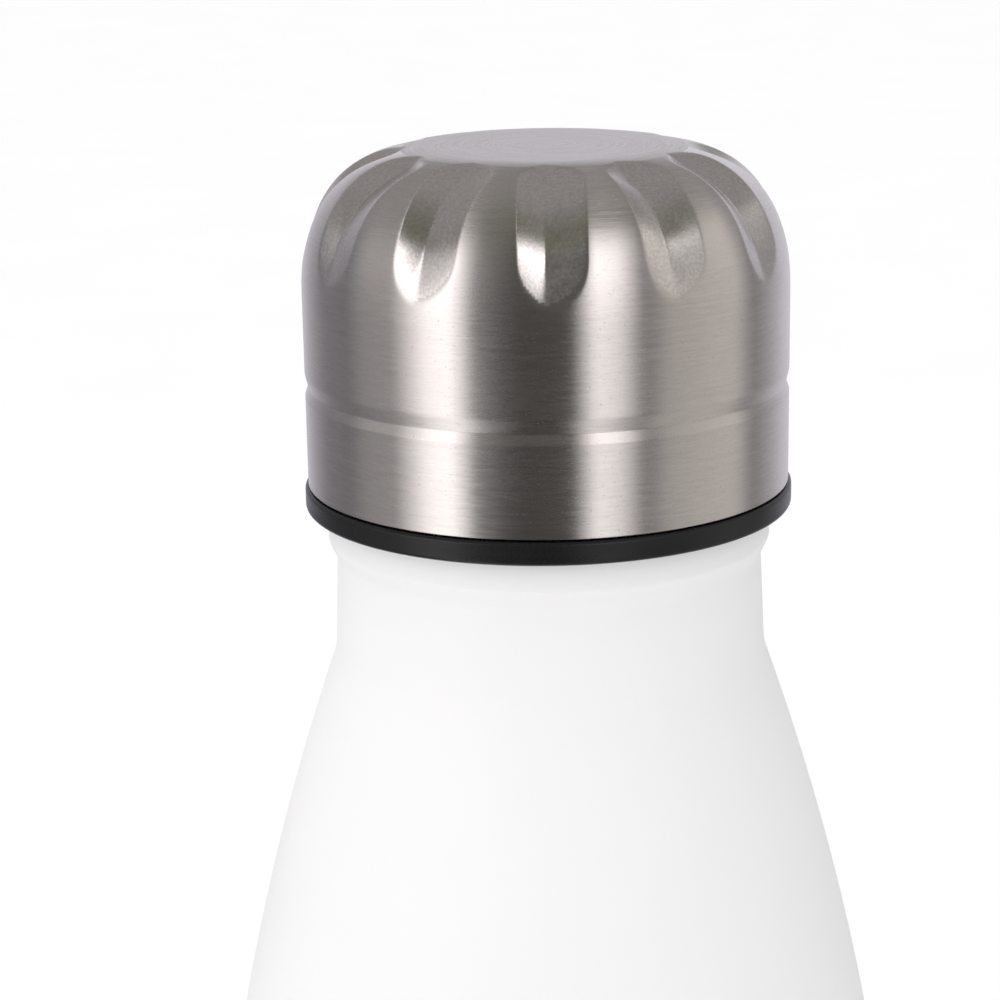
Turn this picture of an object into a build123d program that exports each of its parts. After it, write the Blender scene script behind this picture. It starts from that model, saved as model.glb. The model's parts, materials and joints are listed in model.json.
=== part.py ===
"""Insulated bottle: a double-walled steel vessel with a long sloping shoulder and a fluted steel screw cap.

Frame: +Z up, origin on the floor at the centre of the foot ring, millimetres.
The vessel is two steel skins with a vacuum between them, joined at the mouth rim.
The cap is a pressed steel dome over a plastic sleeve, which holds a threaded stopper full of foam.
"""

from build123d import *
from math import cos, degrees, radians, sqrt, tan
import os

os.makedirs("parts", exist_ok=True)

# ---------------------------------------------------------------- driving sizes, mm
total_height = 260.0  # floor to the flat top of the cap
body_radius = 35.5  # the vessel's widest outside radius
cap_radius = 22.5  # outside of the steel cap
cap_height = 33.2  # flat top of the cap to the underside of its black ring
neck_radius = 20.0  # outside of the neck, just under its collar
neck_foot_radius = 20.4  # outside of the neck, where the shoulder starts
shoulder_arc = 260.0  # radius of the long shoulder curve, seen in profile
mouth_radius = 17.3  # inside of the mouth, between the turns of the thread
steel = 0.5  # both skins of the vessel
vacuum_gap = 3.5  # between the skins, at the body

# ---------------------------------------------------------------- heights that follow from them
ring_bottom = total_height - cap_height
rim = ring_bottom - 0.3  # the mouth rim stays clear of the black ring
collar_base = total_height - 35.4
collar_flare = total_height - 39.0
neck_foot = total_height - 47.5

# The shoulder is one arc that leaves the straight body wall without a corner.
arc_centre = body_radius - shoulder_arc
shoulder_base = neck_foot - sqrt(shoulder_arc**2 - (neck_foot_radius - arc_centre) ** 2)


def shoulder_radius(depth, height):
    """Radius, at a height, of the surface that lies this deep inside the outer shoulder."""
    return arc_centre + sqrt((shoulder_arc - depth) ** 2 - (height - shoulder_base) ** 2)


def shoulder_height(depth, radius):
    """Height at which the surface this deep inside the outer shoulder has a radius."""
    return shoulder_base + sqrt((shoulder_arc - depth) ** 2 - (radius - arc_centre) ** 2)


# ================================================================ VESSEL
# ---------------------------------------------------------------- outer skin
collar_radius = 21.1  # outside of the collar that carries the rim
base_seam = 8.0  # height of the weld between the outer shell and its base pan

with BuildPart() as outer_shell:
    with BuildSketch(Plane.XZ):
        with BuildLine():
            Line((body_radius, base_seam), (body_radius, shoulder_base))
            RadiusArc((body_radius, shoulder_base), (neck_foot_radius, neck_foot), -shoulder_arc)
            FilletPolyline(
                (neck_foot_radius, neck_foot),
                (neck_radius, collar_flare),
                (collar_radius, collar_base),
                (collar_radius, rim - steel),
                radius=(2.0, 1.5),
            )
            offset(amount=steel, side=Side.LEFT)
        make_face()
    revolve(axis=Axis.Z)
outer_shell.part.label = "outer_shell"

foot_outer = 5.5  # radius of the corner between the body wall and the foot ring
foot_inner_radius = 27.5
recess_height = 2.4  # the middle of the base stands this far off the floor
dimple_radius = 6.5
dimple_height = 3.6
vent_radius = 1.2  # the hole that the air was pumped out through

with BuildPart() as outer_base:
    with BuildSketch(Plane.XZ):
        with BuildLine():
            FilletPolyline(
                (body_radius, base_seam),
                (body_radius, 0),
                (foot_inner_radius, 0),
                (foot_inner_radius - 1.5, recess_height),
                (dimple_radius, recess_height),
                (dimple_radius - 1, dimple_height),
                (vent_radius, dimple_height),
                radius=(foot_outer, 0.8, 0.8, 0.4, 0.4),
            )
            offset(amount=steel, side=Side.RIGHT)
        make_face()
    revolve(axis=Axis.Z)
outer_base.part.label = "outer_base"

bead_radius = 3.0
bead_drop = 0.8

with BuildPart() as seal_bead:
    with BuildSketch(Plane.XZ):
        with BuildLine():
            Polyline(
                (0, dimple_height - bead_drop),
                (bead_radius - bead_drop, dimple_height - bead_drop),
                (bead_radius, dimple_height),
                (vent_radius, dimple_height),
                (vent_radius, dimple_height + steel),
                (0, dimple_height + steel),
                close=True,
            )
        make_face()
    revolve(axis=Axis.Z)
seal_bead.part.label = "seal_bead"

base_disc_radius = 13.0

with BuildPart() as base_disc:
    with BuildSketch(Plane.XY.offset(recess_height - steel)):
        Circle(base_disc_radius)
    extrude(amount=steel)
base_disc.part.label = "base_disc"

# ---------------------------------------------------------------- inner skin
liner_depth = steel + vacuum_gap + steel  # outside of the vessel to its drinking side
liner_radius = body_radius - liner_depth
liner_seam = 26.0  # height of the weld between the liner and its base
liner_bottom = 14.0  # the drinking side of the base
liner_corner = 9.5

pitch = 4.0
thread_clearance = 0.3  # crest of one thread to the wall of the other
ridge_height = 1.0
ridge_start = rim - 13.5
ridge_length = 9.0


def thread_section(root_radius, crest_radius, height, root_width, crest_width):
    """One thread tooth in the XZ plane, its root sunk a little into the wall that carries it."""
    sink = 0.2 if root_radius > crest_radius else -0.2
    with BuildSketch(Plane.XZ) as section:
        Polygon(
            (root_radius + sink, height - root_width / 2),
            (root_radius, height - root_width / 2),
            (crest_radius, height - crest_width / 2),
            (crest_radius, height + crest_width / 2),
            (root_radius, height + root_width / 2),
            (root_radius + sink, height + root_width / 2),
            align=None,
        )
    return section.sketch


with BuildPart() as inner_liner:
    with BuildSketch(Plane.XZ):
        with BuildLine():
            neck_start = (mouth_radius, shoulder_height(liner_depth, mouth_radius))
            Line((liner_radius, liner_seam), (liner_radius, shoulder_base))
            RadiusArc((liner_radius, shoulder_base), neck_start, liner_depth - shoulder_arc)
            FilletPolyline(neck_start, (mouth_radius, rim), (collar_radius, rim), radius=0.8)
            offset(amount=steel, side=Side.RIGHT)
        make_face()
    revolve(axis=Axis.Z)
    with BuildLine() as ridge_path:
        Helix(pitch, ridge_length, mouth_radius, center=(0, 0, ridge_start))
    sweep(
        thread_section(mouth_radius, mouth_radius - ridge_height, ridge_start, 2.4, 1.2),
        path=ridge_path.line,
        is_frenet=True,
    )
inner_liner.part.label = "inner_liner"

with BuildPart() as inner_base:
    with BuildSketch(Plane.XZ):
        with BuildLine():
            FilletPolyline(
                (liner_radius, liner_seam), (liner_radius, liner_bottom), (0, liner_bottom), radius=liner_corner
            )
            offset(amount=steel, side=Side.LEFT)
        make_face()
    revolve(axis=Axis.Z)
inner_base.part.label = "inner_base"

# ---------------------------------------------------------------- inside the vacuum
foil_gap = 0.1
foil = 0.1
foil_base = liner_seam + 1
foil_top = shoulder_base + 70
foil_depth = steel + vacuum_gap - foil_gap  # the face of the foil next to the liner

with BuildPart() as copper_foil:
    with BuildSketch(Plane.XZ):
        with BuildLine():
            foil_radius = body_radius - foil_depth
            foil_end = (shoulder_radius(foil_depth, foil_top), foil_top)
            Line((foil_radius, foil_base), (foil_radius, shoulder_base))
            RadiusArc((foil_radius, shoulder_base), foil_end, foil_depth - shoulder_arc)
            offset(amount=foil, side=Side.RIGHT)
        make_face()
    revolve(axis=Axis.Z)
copper_foil.part.label = "copper_foil"

getter_radius = 5.2
getter_thickness = 2.4
clip_strip = 0.4
clip_width = 7.0
clip_length = 21.0
clip_inside = 2 * getter_radius + 1
liner_underside = liner_bottom - steel

with BuildPart() as getter:
    with BuildSketch(Plane.XY.offset(liner_underside)):
        Circle(getter_radius)
    extrude(amount=-getter_thickness)
getter.part.label = "getter"

# A hat-shaped strip, spot-welded by its two brims under the liner's base.
with BuildPart() as getter_clip:
    with BuildSketch(Plane.XZ):
        with BuildLine():
            clip_low = liner_underside - getter_thickness
            Polyline(
                (-clip_length / 2, liner_underside),
                (-clip_inside / 2, liner_underside),
                (-clip_inside / 2, clip_low),
                (clip_inside / 2, clip_low),
                (clip_inside / 2, liner_underside),
                (clip_length / 2, liner_underside),
            )
            offset(amount=clip_strip, side=Side.RIGHT)
        make_face()
    extrude(amount=clip_width / 2, both=True)
getter_clip.part.label = "getter_clip"

# ================================================================ STOPPER AND GASKET
stopper_radius = 15.9
stopper_bore = 13.9
stopper_base = rim - 20.5
plug_top = stopper_base + 1.8  # the plug closes the stopper's lower end
recess_ceiling = ring_bottom + 1.5  # the gasket sits in a recess under the cap
deck_top = ring_bottom + 3.0
gasket_inner = stopper_radius + 0.5
recess_radius = 20.9
flange_radius = 19.9
flange_thickness = 1.5
tooth_height = mouth_radius - thread_clearance - stopper_radius
tooth_start = ridge_start - pitch / 2  # half a turn away, so the two threads never meet
tooth_length = 10.0

with BuildPart() as gasket:
    with BuildSketch(Plane.XY.offset(rim)):
        Circle(recess_radius - 0.3)
        Circle(gasket_inner, mode=Mode.SUBTRACT)
    extrude(amount=recess_ceiling - rim)
gasket.part.label = "gasket"

with BuildPart() as stopper:
    with BuildSketch(Plane.XZ):
        with BuildLine():
            Polyline(
                (stopper_bore, plug_top),
                (stopper_radius, plug_top),
                (stopper_radius, deck_top),
                (flange_radius, deck_top),
                (flange_radius, deck_top + flange_thickness),
                (stopper_bore, deck_top + flange_thickness),
                close=True,
            )
        make_face()
    revolve(axis=Axis.Z)
    with BuildLine() as tooth_path:
        Helix(pitch, tooth_length, stopper_radius, center=(0, 0, tooth_start))
    sweep(
        thread_section(stopper_radius, stopper_radius + tooth_height, tooth_start, 2.0, 1.0),
        path=tooth_path.line,
        is_frenet=True,
    )
stopper.part.label = "stopper"

spigot_radius = stopper_bore - 0.2
spigot_height = 1.5
spigot_wall = 1.4

with BuildPart() as stopper_plug:
    with BuildSketch(Plane.XZ):
        with BuildLine():
            FilletPolyline(
                (0, stopper_base),
                (stopper_radius, stopper_base),
                (stopper_radius, plug_top),
                (spigot_radius, plug_top),
                (spigot_radius, plug_top + spigot_height),
                (spigot_radius - spigot_wall, plug_top + spigot_height),
                (spigot_radius - spigot_wall, plug_top),
                (0, plug_top),
                radius=(1.2, 0, 0, 0, 0, 0),
            )
            Line((0, plug_top), (0, stopper_base))
        make_face()
    revolve(axis=Axis.Z)
stopper_plug.part.label = "stopper_plug"

with BuildPart() as foam_core:
    with BuildSketch(Plane.XY.offset(plug_top + spigot_height)):
        Circle(spigot_radius)
    extrude(amount=deck_top + flange_thickness - plug_top - spigot_height)
foam_core.part.label = "foam_core"

# ================================================================ CAP
cap_skin = 0.6
hairline = 0.15  # gap between the steel edge and the black ring
ring_radius = cap_radius + 0.3
ring_thickness = 2.15
steel_edge = ring_bottom + ring_thickness + hairline
crease = total_height - 21.8  # the skin is rolled into the sleeve here
crease_depth = 0.3
dome_width = 12.17  # the rounded corner between the flat top and the side
dome_height = 13.14
dome_fullness = 0.665  # how square the corner is: 0.55 would be an ellipse
flute_count = 12
flute_turn = 0.1  # the front flute's crease from the front, degrees
flute_arc = 13.7  # every crease runs on a plain arc inside the squarer corner
flute_arc_centre = (9.1, total_height - 13.7)
flute_top_angle = 72.0
flute_tip_angle = 13.0
left_face_tilt = 18.0  # the two faces of a flute, from the skin around them
right_face_tilt = 11.0


def fluted_cap(inset):
    """The cap's solid outer form, drawn in by inset on every side but its open bottom."""
    side = cap_radius - inset
    top = total_height - inset
    corner_centre = (cap_radius - dome_width, total_height - dome_height)
    left_run = 1 / tan(radians(left_face_tilt))
    right_run = 1 / tan(radians(right_face_tilt))
    apex_inset = inset / cos(radians((left_face_tilt + right_face_tilt) / 2))
    end_inset = degrees(inset / flute_arc)
    reach = 2.0
    with BuildPart() as flute:
        with BuildLine(Plane.XZ) as crease_path:
            CenterArc(
                flute_arc_centre,
                flute_arc - apex_inset,
                flute_top_angle + end_inset,
                flute_tip_angle - flute_top_angle - end_inset,
            )
        with BuildSketch(
            Plane(crease_path.line @ 0, x_dir=(0, 1, 0), z_dir=crease_path.line % 0)
        ):
            Polygon((0, 0), (right_run * reach, reach), (-left_run * reach, reach), align=None)
        sweep(path=crease_path.line)
    with BuildPart() as form:
        with BuildSketch(Plane.XZ):
            with BuildLine():
                Line((0, top), (corner_centre[0], top))
                Bezier(
                    (corner_centre[0], top),
                    (corner_centre[0] + dome_fullness * (side - corner_centre[0]), top),
                    (side, top - (1 - dome_fullness) * (top - corner_centre[1])),
                    (side, corner_centre[1]),
                )
                Polyline(
                    (side, corner_centre[1]),
                    (side, crease + 1.3),
                    (side - crease_depth, crease),
                    (side, crease - 1.1),
                    (side, steel_edge),
                    (0, steel_edge),
                    (0, top),
                )
            make_face()
        revolve(axis=Axis.Z)
        with PolarLocations(0, flute_count, start_angle=flute_turn - 90):
            add(flute.part, mode=Mode.SUBTRACT)
    return form.part


with BuildPart() as cap_shell:
    add(fluted_cap(0))
    add(fluted_cap(cap_skin), mode=Mode.SUBTRACT)
cap_shell.part.label = "cap_shell"

skirt_radius = cap_radius - cap_skin - 0.3
skirt_top = total_height - 16.0
skirt_wall = 1.4

with BuildPart() as cap_sleeve:
    with BuildSketch(Plane.XZ):
        with BuildLine():
            ring_top = ring_bottom + ring_thickness
            FilletPolyline(
                (recess_radius, ring_bottom),
                (ring_radius, ring_bottom),
                (ring_radius, ring_top),
                (skirt_radius, ring_top),
                (skirt_radius, crease - 1.2),
                (skirt_radius - crease_depth, crease),
                (skirt_radius, crease + 1.4),
                (skirt_radius, skirt_top),
                (skirt_radius - skirt_wall, skirt_top),
                (skirt_radius - skirt_wall, deck_top),
                (stopper_radius + 0.2, deck_top),
                (stopper_radius + 0.2, recess_ceiling),
                (recess_radius, recess_ceiling),
                close=True,
                radius=(0, 0.4, 0.5, 0, 0, 0, 0, 0, 0, 0, 0, 0, 0),
            )
        make_face()
    revolve(axis=Axis.Z)
cap_sleeve.part.label = "cap_sleeve"

# ---------------------------------------------------------------- output
vessel = (outer_shell, outer_base, seal_bead, base_disc, inner_liner, inner_base)
vacuum_space = (copper_foil, getter, getter_clip)
closure = (gasket, stopper, stopper_plug, foam_core, cap_shell, cap_sleeve)
for piece in vessel + vacuum_space + closure:
    export_step(piece.part, f"parts/{piece.part.label}.step")
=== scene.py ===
"""Insulated bottle: white double-walled vessel and fluted brushed-steel screw cap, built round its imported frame."""

import json
import math
from types import SimpleNamespace

import bmesh
import bpy
import numpy as np
from bpy.props import FloatProperty, FloatVectorProperty, IntProperty, PointerProperty
from mathutils import Matrix, Vector

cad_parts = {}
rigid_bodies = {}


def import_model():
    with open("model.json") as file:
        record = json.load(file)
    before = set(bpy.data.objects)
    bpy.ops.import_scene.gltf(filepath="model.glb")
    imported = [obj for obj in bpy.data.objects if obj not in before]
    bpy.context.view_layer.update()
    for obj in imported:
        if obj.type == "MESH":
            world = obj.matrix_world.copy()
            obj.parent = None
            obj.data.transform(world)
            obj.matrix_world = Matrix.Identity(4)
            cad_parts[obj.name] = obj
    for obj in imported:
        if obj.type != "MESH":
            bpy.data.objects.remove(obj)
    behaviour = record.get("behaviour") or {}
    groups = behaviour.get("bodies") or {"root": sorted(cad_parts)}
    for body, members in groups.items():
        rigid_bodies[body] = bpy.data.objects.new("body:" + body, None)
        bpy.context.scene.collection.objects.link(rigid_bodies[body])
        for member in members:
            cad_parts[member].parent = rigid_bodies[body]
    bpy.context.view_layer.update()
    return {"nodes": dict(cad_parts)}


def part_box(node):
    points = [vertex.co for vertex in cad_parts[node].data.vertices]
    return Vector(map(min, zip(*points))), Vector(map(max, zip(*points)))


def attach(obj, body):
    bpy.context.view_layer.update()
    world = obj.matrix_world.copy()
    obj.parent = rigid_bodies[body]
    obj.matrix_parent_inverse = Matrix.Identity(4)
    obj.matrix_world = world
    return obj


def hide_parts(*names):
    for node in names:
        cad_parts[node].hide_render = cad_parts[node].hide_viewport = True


bl_info = {
    "name": "Insulated Bottle",
    "version": (1, 0, 0),
    "blender": (4, 5, 0),
    "location": "View3D > Sidebar > Bottle",
    "description": "Builds a white insulated bottle with a fluted steel screw cap",
    "category": "Add Mesh",
}

for leftover in list(bpy.data.objects):
    bpy.data.objects.remove(leftover)

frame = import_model()
MM = 0.001
CAP_DROP = 0.0002  # the cap's steel edge and its ring reach this much below their CAD nodes


def low(node):
    """The lowest corner of a CAD node."""
    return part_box(node)[0]


def high(node):
    """The highest corner of a CAD node."""
    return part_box(node)[1]


def span(node):
    """The bottom, the top and the outer radius of a CAD node, in millimetres."""
    return low(node).z / MM, high(node).z / MM, high(node).x / MM


# ---------------------------------------- sizes and colours


def length(name, description, default):
    """A size property in metres."""
    return FloatProperty(
        name=name, description=description, default=default, min=0.0, precision=4, subtype="DISTANCE", unit="LENGTH"
    )


def colour(name, description, default):
    """A colour property."""
    return FloatVectorProperty(
        name=name, description=description, default=default, min=0.0, max=1.0, size=3, subtype="COLOR"
    )


class BottleSizes(bpy.types.PropertyGroup):
    """Sizes that a user would change"""

    body_radius: length("Body radius", "Outside of the vessel's straight wall", high("outer_shell").x)
    shoulder_arc: length("Shoulder arc", "Radius of the long shoulder curve seen in profile", 0.260)
    neck_radius: length("Neck radius", "Outside of the neck just under its collar", 0.020)
    neck_foot_radius: length("Neck foot radius", "Outside of the neck where the shoulder starts", 0.0204)
    collar_radius: length("Collar radius", "Outside of the collar that carries the rim", 0.02078)
    mouth_radius: length("Mouth radius", "Inside of the mouth between the turns of its thread", 0.0173)
    base_seam: length("Base seam", "Height of the weld between the shell and the base pan", low("outer_shell").z)
    liner_radius: length("Liner radius", "Drinking side of the vessel's straight wall", 0.031)
    liner_seam: length("Liner seam", "Height of the weld between the liner and its base", high("inner_base").z)
    rim: length("Rim height", "Top of the mouth rim", high("inner_liner").z)
    steel: length("Steel thickness", "Thickness of both skins of the vessel", 0.0005)
    cap_radius: length("Cap radius", "Outside of the steel cap", high("cap_shell").x)
    cap_top: length("Cap top", "Height of the cap's flat top", high("cap_shell").z)
    cap_skin: length("Cap skin", "Thickness of the cap's pressed steel", 0.0006)
    cap_edge: length("Cap edge", "Height of the steel cap's open edge", low("cap_shell").z - CAP_DROP)
    crease_drop: length("Crease drop", "Rolled crease below the cap's top", 0.0218)
    ring_radius: length("Ring radius", "Outside of the black ring under the cap", high("cap_sleeve").x)
    ring_bottom: length("Ring underside", "Height of the black ring's underside", low("cap_sleeve").z - CAP_DROP)
    flute_left: length("Flute left face", "Width of a flute's steep left face", 0.00245)
    flute_right: length("Flute right face", "Width of a flute's shallow right face", 0.0034)
    flute_depth: length("Flute depth", "Depth of a flute's crease at its deepest", 0.00095)
    pitch: length("Thread pitch", "Rise of the mouth thread in one turn", 0.004)


class BottleFinish(bpy.types.PropertyGroup):
    """Flutes and colours that a user would change"""

    flutes: IntProperty(name="Flutes", description="Number of flutes round the cap", default=12, min=3, max=24)
    coat: colour("Coat", "Powder coat of the vessel", (0.868, 0.856, 0.862))
    steel: colour("Cap steel", "Brushed steel of the cap", (0.62, 0.582, 0.558))
    liner_steel: colour("Liner steel", "Bare steel inside the vessel and under it", (0.58, 0.57, 0.56))
    plastic: colour("Plastic", "Black plastic of the ring, sleeve and stopper", (0.0085, 0.0078, 0.0082))
    silicone: colour("Silicone", "Gasket under the cap", (0.78, 0.79, 0.77))
    floor: colour("Floor", "Plain pale floor", (0.985, 0.985, 0.985))


def sizes_in_mm(context):
    """The sizes in the sidebar, in millimetres."""
    group = context.scene.bottle_sizes
    return SimpleNamespace(**{name: getattr(group, name) / MM for name in BottleSizes.__annotations__})


# ---------------------------------------- outlines, in millimetres

ON_AXIS = 1e-6  # a radius below this is a point on the axis
SUPPORT = 0.25  # how far an arc's neighbours stand off its ends, or this share of a stretch under 1 mm


def rounded(corners, step):
    """Points along a line of (radius, height, corner radius) corners, with each corner turned as an arc in steps
    of so many degrees. Each arc has a close neighbour on both sides, so that flat stretches shade flat."""
    points = []
    last = len(corners) - 1
    for i, (r, z, fillet) in enumerate(corners):
        here = Vector((r, z))
        if i in (0, last) or fillet == 0:
            points.append(here)
            continue
        back = Vector(corners[i - 1][:2]) - here
        ahead = Vector(corners[i + 1][:2]) - here
        inside = back.angle(ahead)
        turn = math.pi - inside
        reach = fillet / math.tan(inside / 2)
        support = SUPPORT * min(1.0, min(back.length, ahead.length) - reach)
        start = here + back.normalized() * reach
        end = here + ahead.normalized() * reach
        centre = here + (back.normalized() + ahead.normalized()).normalized() * (fillet / math.sin(inside / 2))
        spoke = start - centre
        side = 1 if back.cross(ahead) < 0 else -1
        pieces = max(2, math.ceil(math.degrees(turn) / step))
        points.append(start + back.normalized() * support)
        points += [centre + Matrix.Rotation(side * turn * k / pieces, 2) @ spoke for k in range(pieces + 1)]
        points.append(end + ahead.normalized() * support)
    return [tuple(p) for p in points]


def arc_between(centre, radius, start, end, pieces):
    """Points on an arc of the outline, by angle in radians, both ends included."""
    angles = np.linspace(start, end, pieces + 1)
    return [(centre[0] + radius * math.cos(a), centre[1] + radius * math.sin(a)) for a in angles]


def left_of(line):
    """The direction to the left of a line at each of its points."""
    tangent = np.gradient(line, axis=0)
    tangent /= np.linalg.norm(tangent, axis=1)[:, None]
    return np.stack([-tangent[:, 1], tangent[:, 0]], axis=1)


def offset_line(points, distance):
    """The same line moved sideways, to its left where distance is positive."""
    line = np.array(points, float)
    return [tuple(p) for p in line + left_of(line) * distance]


def lengths_along(line):
    """The distance along a line to each of its points."""
    return np.concatenate([[0], np.cumsum(np.linalg.norm(np.diff(line, axis=0), axis=1))])


# ---------------------------------------- meshes


def new_piece(mesh, body, slot, nodes, more_finishes=(), sharp=40.0):
    """Adds a mesh to the scene as a piece of the same name that rides on a body and stands for CAD nodes.
    It has the finish that its slot names, and any more after it."""
    mesh.shade_smooth()
    mesh.set_sharp_from_angle(angle=math.radians(sharp))
    piece = bpy.data.objects.new(mesh.name, mesh)
    bpy.context.scene.collection.objects.link(piece)
    for finish_name in (slot, *more_finishes):
        mesh.materials.append(finish(finish_name))
    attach(piece, body)
    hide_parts(*nodes)


def ring_mesh(name, rings, closed=True):
    """A skin through rings of points in millimetres. Each ring has the same count, or one point at a pole."""
    points = [tuple(p) for ring in rings for p in ring]
    starts = np.cumsum([0] + [len(ring) for ring in rings])
    pairs = list(zip(range(len(rings) - 1), range(1, len(rings))))
    if closed:
        pairs.append((len(rings) - 1, 0))
    faces = []
    for a, b in pairs:
        count_a, count_b = len(rings[a]), len(rings[b])
        sa, sb = int(starts[a]), int(starts[b])
        if count_a == count_b > 1:
            faces += [(sa + i, sa + (i + 1) % count_a, sb + (i + 1) % count_a, sb + i) for i in range(count_a)]
        elif count_a > 1:
            faces += [(sa + i, sa + (i + 1) % count_a, sb) for i in range(count_a)]
        elif count_b > 1:
            faces += [(sa, sb + (i + 1) % count_b, sb + i) for i in range(count_b)]
    mesh = bpy.data.meshes.new(name)
    mesh.from_pydata((np.array(points) * MM).tolist(), [], faces)
    tidy_normals(mesh)
    return mesh


def tidy_normals(mesh):
    """Turns every face outwards."""
    shape = bmesh.new()
    shape.from_mesh(mesh)
    bmesh.ops.recalc_face_normals(shape, faces=shape.faces)
    shape.to_mesh(mesh)
    shape.free()


def turned_rings(outline, segments):
    """Rings made by turning an outline of (radius, height) points round the bottle's axis."""
    angles = np.arange(segments) * 2 * math.pi / segments
    rings = []
    for r, z in outline:
        if r < ON_AXIS:
            rings.append([(0.0, 0.0, z)])
        else:
            rings.append(np.stack([r * np.cos(angles), r * np.sin(angles), np.full(segments, z)], axis=1))
    return rings


def turned(name, outline, segments=192):
    """A mesh made by turning a closed outline round the bottle's axis."""
    return ring_mesh(name, turned_rings(outline, segments))


def add_thread(mesh, root, crest, pitch, start, rise, widths):
    """Adds a screw-thread ridge to a mesh, between the radii of its root and its crest, with its widths at both.
    Its ends run out to nothing, as on a moulded or rolled thread, and its root is sunk into the wall."""
    turn_steps = 96
    steps = round(rise / pitch * turn_steps)
    run_out = turn_steps / 7
    out = 1 if crest > root else -1
    sunk = root - out * 0.25
    shape = bmesh.new()
    shape.from_mesh(mesh)
    rows = []
    for i in range(steps + 1):
        ease = min(1.0, i / run_out, (steps - i) / run_out)
        ease = max(0.02, ease * ease * (3 - 2 * ease))
        angle = 2 * math.pi * i / turn_steps
        z = start + pitch * i / turn_steps
        tip = root + (crest - root) * ease
        half_root = widths[0] / 2 * (0.55 + 0.45 * ease)
        half_crest = widths[1] / 2
        soft = 0.18 * ease * out
        flank = [
            (sunk, half_root),
            (root, half_root),
            (tip - soft * 1.6, half_crest + 0.18),
            (tip - soft * 0.45, half_crest + 0.02),
            (tip, half_crest - 0.2),
        ]
        section = [(r, z - h) for r, h in flank] + [(r, z + h) for r, h in reversed(flank)]
        across, up = math.cos(angle) * MM, math.sin(angle) * MM
        rows.append([shape.verts.new((r * across, r * up, h * MM)) for r, h in section])
    added = []
    for near, far in zip(rows, rows[1:]):
        for k in range(len(near)):
            n = (k + 1) % len(near)
            added.append(shape.faces.new((near[k], near[n], far[n], far[k])))
    added.append(shape.faces.new(rows[0]))
    added.append(shape.faces.new(rows[-1]))
    bmesh.ops.recalc_face_normals(shape, faces=added)
    shape.to_mesh(mesh)
    shape.free()


# ---------------------------------------- the cap's fluted dome

DOME_WIDTH = 12.17  # the rounded corner between the flat top and the side
DOME_HEIGHT = 13.14
DOME_FULLNESS = 0.665  # 0.55 is a quarter of an ellipse, more is squarer
CORNER_POINTS = 74  # rows of the mesh round that corner
FLAT_ROWS = (0.15, 0.35, 0.55, 0.72, 0.86, 0.95)  # rows on the flat top, as shares of its radius
TOP_RADIUS = 13.0  # the matt disc in the middle of the top
CREASE_DEPTH = 0.3  # of the rolled crease, in the steel and in the sleeve

FLUTE_TURN = 0.1  # degrees from the front to the front flute's crease
FLUTE_TOP = 12.7  # radius at which a flute starts
FLUTE_TIP = 10.8  # how far below the top a flute ends
TOP_ENDS = 0.24  # shares of a flute's length from its top: where it has opened to its full width,
DEEPEST = 0.36  # where it is deepest,
TIP_STARTS = 0.68  # and where its tip begins to close
TOP_SQUARE = 3.0  # the curve of each end: 2 is a parabola, more is squarer
TIP_SQUARE = 3.0
TOP_RISE = 0.30  # how much shallower the crease is at each end, as a share of its depth
TIP_RISE = 0.58
TIP_CURVE = 1.4  # 1 brings the crease up to the tip in a straight line, more leaves it later
RIGHT_HOLLOW = 0.30  # 0 is a flat right face
CREASE_SOFTNESS = 0.12  # how far the crease is rounded, and how much more at the tip
TIP_SOFTNESS = 0.55
EDGE_SOFTNESS = 0.035  # rounding of the edges, measured in depth
NEAR_FLUTE = (-0.4, 1.3)  # shares of its length beyond which a flute leaves no mark
FLUTED_DEPTH = 0.045  # faces that lie deeper than this have the flutes' finish


def dome_outline(s):
    """Outline of the cap's steel from the middle of its flat top to its open edge."""
    inner = s.cap_radius - DOME_WIDTH
    crease = s.cap_top - s.crease_drop
    flat = [(inner * share, s.cap_top) for share in (0.0, *FLAT_ROWS)]
    p0 = np.array((inner, s.cap_top))
    p1 = np.array((inner + DOME_FULLNESS * DOME_WIDTH, s.cap_top))
    p2 = np.array((s.cap_radius, s.cap_top - (1 - DOME_FULLNESS) * DOME_HEIGHT))
    p3 = np.array((s.cap_radius, s.cap_top - DOME_HEIGHT))
    t = np.linspace(0, 1, 900)[:, None]
    fine = (1 - t) ** 3 * p0 + 3 * (1 - t) ** 2 * t * p1 + 3 * (1 - t) * t**2 * p2 + t**3 * p3
    along = lengths_along(fine)
    stations = np.linspace(0, along[-1], CORNER_POINTS)
    corner = np.stack([np.interp(stations, along, fine[:, 0]), np.interp(stations, along, fine[:, 1])], axis=1)
    side = rounded(
        [
            (s.cap_radius, s.cap_top - DOME_HEIGHT - 0.3, 0),
            (s.cap_radius, crease + 1.3, 2.0),
            (s.cap_radius - CREASE_DEPTH, crease, 0.25),
            (s.cap_radius, crease - 0.9, 0.5),
            (s.cap_radius, s.cap_edge, 0.12),
            (s.cap_radius - s.cap_skin, s.cap_edge, 0.12),
            (s.cap_radius - s.cap_skin, s.cap_edge + 1.0, 0),
        ],
        step=6.0,
    )
    return flat + [tuple(p) for p in corner] + side


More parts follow.
